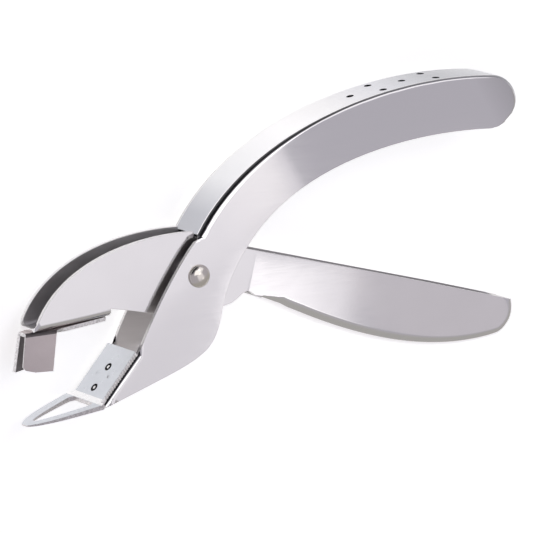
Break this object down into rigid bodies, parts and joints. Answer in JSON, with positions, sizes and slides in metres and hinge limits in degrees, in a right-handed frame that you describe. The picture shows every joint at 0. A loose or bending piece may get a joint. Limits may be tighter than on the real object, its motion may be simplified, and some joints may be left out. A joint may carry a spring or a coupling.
{
  "type": "plier-type staple remover",
  "caption": "Plier-shaped staple remover: long sprung handles, a tapered forked blade below and a toed-in claw above that grips a staple's crown.",
  "frame": {"origin": "middle of the tool's length and height, at the lowest point when the tool lies on its far side", "axes": "+X from the jaws back along the handles, +Y up as the tool is held with the blade below, +Z up out of the near side plate, along the pivot rivet"},
  "size_m": [0.1683, 0.0904, 0.0204],
  "materials": {
    "upper_frame_plate": "bright nickel plate on drawn sheet steel, fine brush and handling marks",
    "lower_frame_plate": "bright nickel plate on drawn sheet steel, fine brush and handling marks",
    "blade_plate": "nickel-plated, tumbled satin, with brighter sheared edges",
    "claw_steel": "satin grey plate with bright granular sheared edges",
    "rivet_steel": "satin plated rivet steel",
    "pivot_plate": "warm polished nickel dome",
    "inner_steel": "plain zinc-grey steel, lightly oiled",
    "spring_wire": "drawn spring wire"
  },
  "bodies": {
    "body": {"body_frame": "upper_frame_plate", "blade": "blade_plate", "blade_rivet_upper": "rivet_steel", "blade_rivet_lower": "rivet_steel", "pivot_rivet": "pivot_plate", "return_spring": "spring_wire"},
    "lever": {"lever_frame": "lower_frame_plate", "claw": "claw_steel", "claw_rivet_front": "rivet_steel", "claw_rivet_rear": "rivet_steel", "pivot_sleeve": "inner_steel", "spacer_washer_near": "inner_steel", "spacer_washer_far": "inner_steel"}
  },
  "joints": [
    {"name": "handle_pivot", "type": "hinge", "parent": "body", "child": "lever", "pos_m": [-0.028, -0.0054, 0.0102], "axis": [0, 0, 1], "range_deg": [0, 14], "stiffness_Nm_per_rad": 0.12, "springref_deg": -57.3, "deforming": ["return_spring"]}
  ]
}
